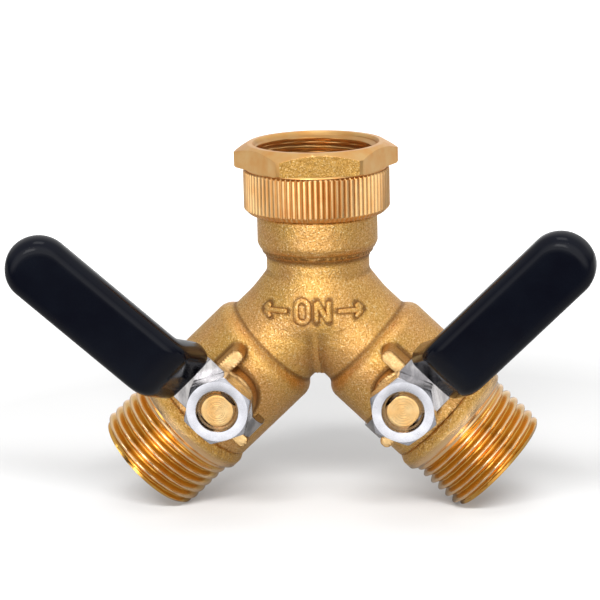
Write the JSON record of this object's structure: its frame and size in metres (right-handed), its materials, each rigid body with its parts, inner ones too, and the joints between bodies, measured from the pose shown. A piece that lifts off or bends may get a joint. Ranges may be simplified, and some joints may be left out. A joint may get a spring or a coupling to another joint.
{
  "type": "hose splitter",
  "caption": "Brass Y hose splitter with a swivelling threaded inlet nut, lever-handled ball valves on both branches and male threaded hose outlets.",
  "frame": {"origin": "centre of the inlet washer's face, on the swivel nut's axis, where the end of a tap's spout seats", "axes": "+Z out of the inlet, upwards; +X to the right across both branches; the levers are at the front, -Y"},
  "size_m": [0.124, 0.0629, 0.0827],
  "materials": {
    "cast_brass": "blasted casting, satin",
    "machined_brass": "machined, bright",
    "plated_steel": "bright plated strip",
    "nut_steel": "satin plated, turned face",
    "plated_ball": "polished chrome plate",
    "black_vinyl": "dipped vinyl, glossy",
    "ptfe": "smooth white PTFE",
    "rubber": "matt black rubber"
  },
  "bodies": {
    "housing": {"y_body": "cast_brass", "swivel_tail": "machined_brass", "tail_seal": "rubber", "inlet_washer": "rubber", "left_outlet": "machined_brass", "left_outlet_seal": "rubber", "left_inlet_seat": "ptfe", "left_outlet_seat": "ptfe", "left_thrust_washer": "ptfe", "right_outlet": "machined_brass", "right_outlet_seal": "rubber", "right_inlet_seat": "ptfe", "right_outlet_seat": "ptfe", "right_thrust_washer": "ptfe"},
    "inlet_nut": {"swivel_nut": "machined_brass"},
    "left_valve": {"left_ball": "plated_ball", "left_stem": "machined_brass", "left_stem_o_rings": "rubber", "left_lever": "plated_steel", "left_lever_sleeve": "black_vinyl", "left_lever_nut": "nut_steel"},
    "right_valve": {"right_ball": "plated_ball", "right_stem": "machined_brass", "right_stem_o_rings": "rubber", "right_lever": "plated_steel", "right_lever_sleeve": "black_vinyl", "right_lever_nut": "nut_steel"}
  },
  "joints": [
    {"name": "nut_swivel", "type": "hinge", "parent": "housing", "child": "inlet_nut", "pos_m": [0, 0, 0], "axis": [0, 0, 1], "continuous": true},
    {"name": "left_lever_turn", "type": "hinge", "parent": "housing", "child": "left_valve", "pos_m": [-0.02021, 0, -0.04612], "axis": [0, -1, 0], "range_deg": [0, 90]},
    {"name": "right_lever_turn", "type": "hinge", "parent": "housing", "child": "right_valve", "pos_m": [0.02021, 0, -0.04612], "axis": [0, 1, 0], "range_deg": [0, 90]}
  ]
}
